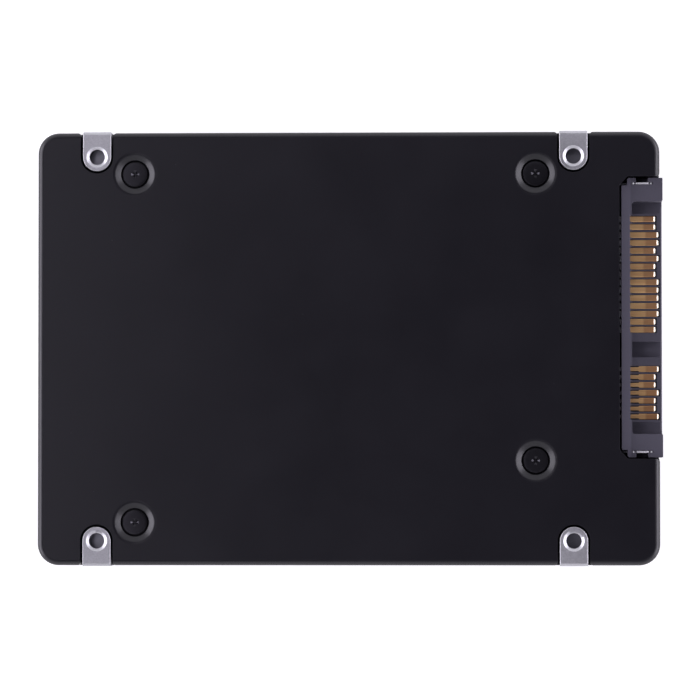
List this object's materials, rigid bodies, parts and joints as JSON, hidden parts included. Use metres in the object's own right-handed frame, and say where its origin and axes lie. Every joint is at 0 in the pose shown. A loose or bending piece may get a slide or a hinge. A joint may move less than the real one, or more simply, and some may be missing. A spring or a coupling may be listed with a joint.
{
  "type": "solid state drive",
  "caption": "Slim solid state drive: black metal case with bare mounting lugs, sunken case screws and a combined data and power plug at one end.",
  "frame": {"origin": "centre of the bounding box, on the label-side face that the drive lies on", "axes": "+Z out of the mounting face with the lugs and screws, +X towards the plug, +Y towards the plug's power half"},
  "size_m": [0.1004, 0.0698, 0.007],
  "materials": {
    "black_paint": "satin black paint on die-cast aluminium; the lugs' faces are bare",
    "plug_plastic": "dark grey moulded plastic",
    "contact_gold": "gold-plated copper alloy",
    "bare_metal": "bright bare metal: tin plate on the board locks, bare aluminium on the lugs",
    "black_screw": "black zinc or black nickel",
    "board_laminate": "solder mask on glass-epoxy laminate",
    "chip_epoxy": "moulded epoxy, unmarked",
    "capacitor_body": "moulded yellow body, unmarked",
    "inductor_ferrite": "pressed metal powder",
    "crystal_can": "bright metal lid",
    "thermal_pad": "soft silicone gap filler",
    "label_paper": "blank satin label"
  },
  "bodies": {
    "root": {"blank_label": "label_paper", "board_lock_1": "bare_metal", "board_lock_2": "bare_metal", "bottom_cover": "black_paint", "case_screw_1": "black_screw", "case_screw_2": "black_screw", "case_screw_3": "black_screw", "case_screw_4": "black_screw", "circuit_board": "board_laminate", "controller": "chip_epoxy", "controller_pad": "thermal_pad", "crystal": "crystal_can", "dram": "chip_epoxy", "flash_1": "chip_epoxy", "flash_2": "chip_epoxy", "flash_3": "chip_epoxy", "flash_4": "chip_epoxy", "flash_5": "chip_epoxy", "flash_6": "chip_epoxy", "flash_7": "chip_epoxy", "flash_8": "chip_epoxy", "flash_pad": "thermal_pad", "hold_up_capacitor_1": "capacitor_body", "hold_up_capacitor_2": "capacitor_body", "hold_up_capacitor_3": "capacitor_body", "hold_up_capacitor_4": "capacitor_body", "hold_up_capacitor_5": "capacitor_body", "hold_up_capacitor_6": "capacitor_body", "plug_housing": "plug_plastic", "power_chip": "chip_epoxy", "power_contact_01": "contact_gold", "power_contact_02": "contact_gold", "power_contact_03": "contact_gold", "power_contact_04": "contact_gold", "power_contact_05": "contact_gold", "power_contact_06": "contact_gold", "power_contact_07": "contact_gold", "power_contact_08": "contact_gold", "power_contact_09": "contact_gold", "power_contact_10": "contact_gold", "power_contact_11": "contact_gold", "power_contact_12": "contact_gold", "power_contact_13": "contact_gold", "power_contact_14": "contact_gold", "power_contact_15": "contact_gold", "power_inductor_1": "inductor_ferrite", "power_inductor_2": "inductor_ferrite", "signal_contact_1": "contact_gold", "signal_contact_2": "contact_gold", "signal_contact_3": "contact_gold", "signal_contact_4": "contact_gold", "signal_contact_5": "contact_gold", "signal_contact_6": "contact_gold", "signal_contact_7": "contact_gold", "top_shell": "black_paint"}
  },
  "joints": []
}
